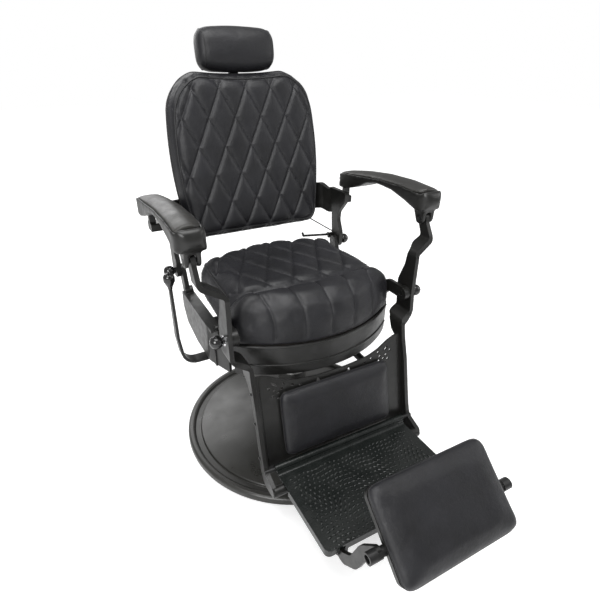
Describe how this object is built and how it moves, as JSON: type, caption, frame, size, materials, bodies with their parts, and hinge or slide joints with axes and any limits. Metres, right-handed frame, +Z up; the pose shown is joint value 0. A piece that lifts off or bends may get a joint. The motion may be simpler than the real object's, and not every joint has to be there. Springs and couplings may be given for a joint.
{
  "type": "barber chair",
  "caption": "Hydraulic barber chair: quilted seat and back, headrest, arm rests on a reclining parallel linkage, calf panel, folding footplate and flip-up foot pad on a round pump base.",
  "frame": {"origin": "on the pump's axis at the floor", "axes": "+Z up along the pump, the sitter faces -Y, +X is the sitter's left"},
  "size_m": [0.75, 1.1878, 1.2083],
  "materials": {
    "cast_black": "satin black enamel",
    "base_black": "gloss black enamel",
    "steel_black": "satin black",
    "steel": "machined",
    "chrome": "polished",
    "rubber": "matt",
    "leather": "soft sheen",
    "pad_black": "semi-gloss",
    "knob_black": "gloss",
    "board": "plywood",
    "cover": "textured",
    "bearing": "plain"
  },
  "bodies": {
    "base": {"base_disc": "base_black", "base_foot_ring": "rubber", "pump_cylinder": "base_black", "base_bolts": "steel_black", "pump_gland": "steel"},
    "ram": {"ram": "chrome", "swivel_bearing": "bearing"},
    "seat": {"seat_turret": "steel_black", "turret_bolts": "steel", "seat_cross_rails": "steel_black", "seat_sleepers": "steel_black", "seat_side_left": "cast_black", "seat_side_right": "cast_black", "seat_apron": "cast_black", "seat_board": "board", "seat_cushion": "leather", "rear_ball_pins": "knob_black", "front_ball_pins": "knob_black", "front_washers": "chrome", "frame_screws": "steel", "strut_seat_bracket": "steel_black", "strut_seat_pin": "steel", "pump_head": "cast_black", "lever_pin": "steel"},
    "pump_lever": {"pump_lever": "steel_black", "pump_lever_knob": "knob_black"},
    "back": {"back_casting_left": "cast_black", "back_casting_right": "cast_black", "back_board": "board", "back_cushion": "leather", "back_rear_cover": "cover", "back_screws": "steel_black", "headrest_guide": "steel_black", "corner_stay": "steel_black", "release_pin": "steel"},
    "release": {"release_lever": "steel_black"},
    "headrest": {"headrest_post": "steel_black", "headrest_cushion": "leather"},
    "arm_left": {"arm_casting_left": "cast_black", "arm_pad_left": "pad_black", "arm_pins_left": "steel_black"},
    "arm_right": {"arm_casting_right": "cast_black", "arm_pad_right": "pad_black", "arm_pins_right": "steel_black"},
    "legrest": {"leg_lever_left": "cast_black", "leg_lever_right": "cast_black", "calf_panel": "cast_black", "calf_cushion": "leather", "footplate_pins": "steel_black", "panel_screws": "steel_black", "strut_leg_bracket": "steel_black", "strut_leg_pin": "steel"},
    "strut_tube": {"lock_strut_tube": "steel_black"},
    "strut_rod": {"lock_strut_rod": "chrome"},
    "footplate": {"footplate": "cast_black", "swing_hinge_rod": "steel_black"},
    "swing": {"swing_arms": "cast_black", "pad_rod": "steel_black"},
    "flip_pad": {"flip_pad_tray": "cast_black", "flip_pad_cushion": "leather"}
  },
  "joints": [
    {"name": "lift", "type": "slide", "parent": "base", "child": "ram", "axis": [0, 0, 1], "range_m": [-0.08, 0.07]},
    {"name": "swivel", "type": "hinge", "parent": "ram", "child": "seat", "pos_m": [0, 0, 0.354], "axis": [0, 0, 1], "continuous": true},
    {"name": "pump_stroke", "type": "hinge", "parent": "seat", "child": "pump_lever", "pos_m": [-0.095, 0.03, 0.35], "axis": [0, -1, 0], "range_deg": [0, 18]},
    {"name": "recline", "type": "hinge", "parent": "seat", "child": "back", "pos_m": [0, 0.204, 0.566], "axis": [-1, 0, 0], "range_deg": [0, 38]},
    {"name": "legrest_swing", "type": "hinge", "parent": "seat", "child": "legrest", "pos_m": [0, -0.192, 0.536], "axis": [-1, 0, 0], "range_deg": [0, 38]},
    {"name": "arm_left_pivot", "type": "hinge", "parent": "back", "child": "arm_left", "pos_m": [0.338, 0.239, 0.772], "axis": [-1, 0, 0], "range_deg": [-38, 0]},
    {"name": "arm_right_pivot", "type": "hinge", "parent": "back", "child": "arm_right", "pos_m": [-0.338, 0.239, 0.772], "axis": [-1, 0, 0], "range_deg": [-38, 0]},
    {"name": "strut_tube_pivot", "type": "hinge", "parent": "seat", "child": "strut_tube", "pos_m": [0.165, 0.06, 0.322], "axis": [-1, 0, 0], "range_deg": [-0.5, 11.33]},
    {"name": "strut_rod_pivot", "type": "hinge", "parent": "legrest", "child": "strut_rod", "pos_m": [0.165, -0.24, 0.305], "axis": [-1, 0, 0], "range_deg": [-27.67, 0.5]},
    {"name": "footplate_fold", "type": "hinge", "parent": "legrest", "child": "footplate", "pos_m": [0, -0.313, 0.175], "axis": [-1, 0, 0], "range_deg": [0, 45]},
    {"name": "pad_swing", "type": "hinge", "parent": "footplate", "child": "swing", "pos_m": [0, -0.562, 0.132], "axis": [-1, 0, 0], "range_deg": [0, 20]},
    {"name": "pad_tilt", "type": "hinge", "parent": "swing", "child": "flip_pad", "pos_m": [0, -0.686, 0.288], "axis": [-1, 0, 0], "range_deg": [-30, 30]},
    {"name": "headrest_height", "type": "slide", "parent": "back", "child": "headrest", "axis": [0, 0.184, 0.9829], "range_m": [0, 0.08]},
    {"name": "release_press", "type": "hinge", "parent": "back", "child": "release", "pos_m": [0.272, 0.2353, 0.578], "axis": [0, 1, 0], "range_deg": [0, 12]}
  ],
  "couplings": [
    {"joint": "legrest_swing", "follows": "recline", "ratio": 1},
    {"joint": "arm_left_pivot", "follows": "recline", "ratio": -1},
    {"joint": "arm_right_pivot", "follows": "recline", "ratio": -1},
    {"joint": "strut_tube_pivot", "follows": "recline", "ratio": 0.2851},
    {"joint": "strut_rod_pivot", "follows": "recline", "ratio": -0.7149}
  ]
}
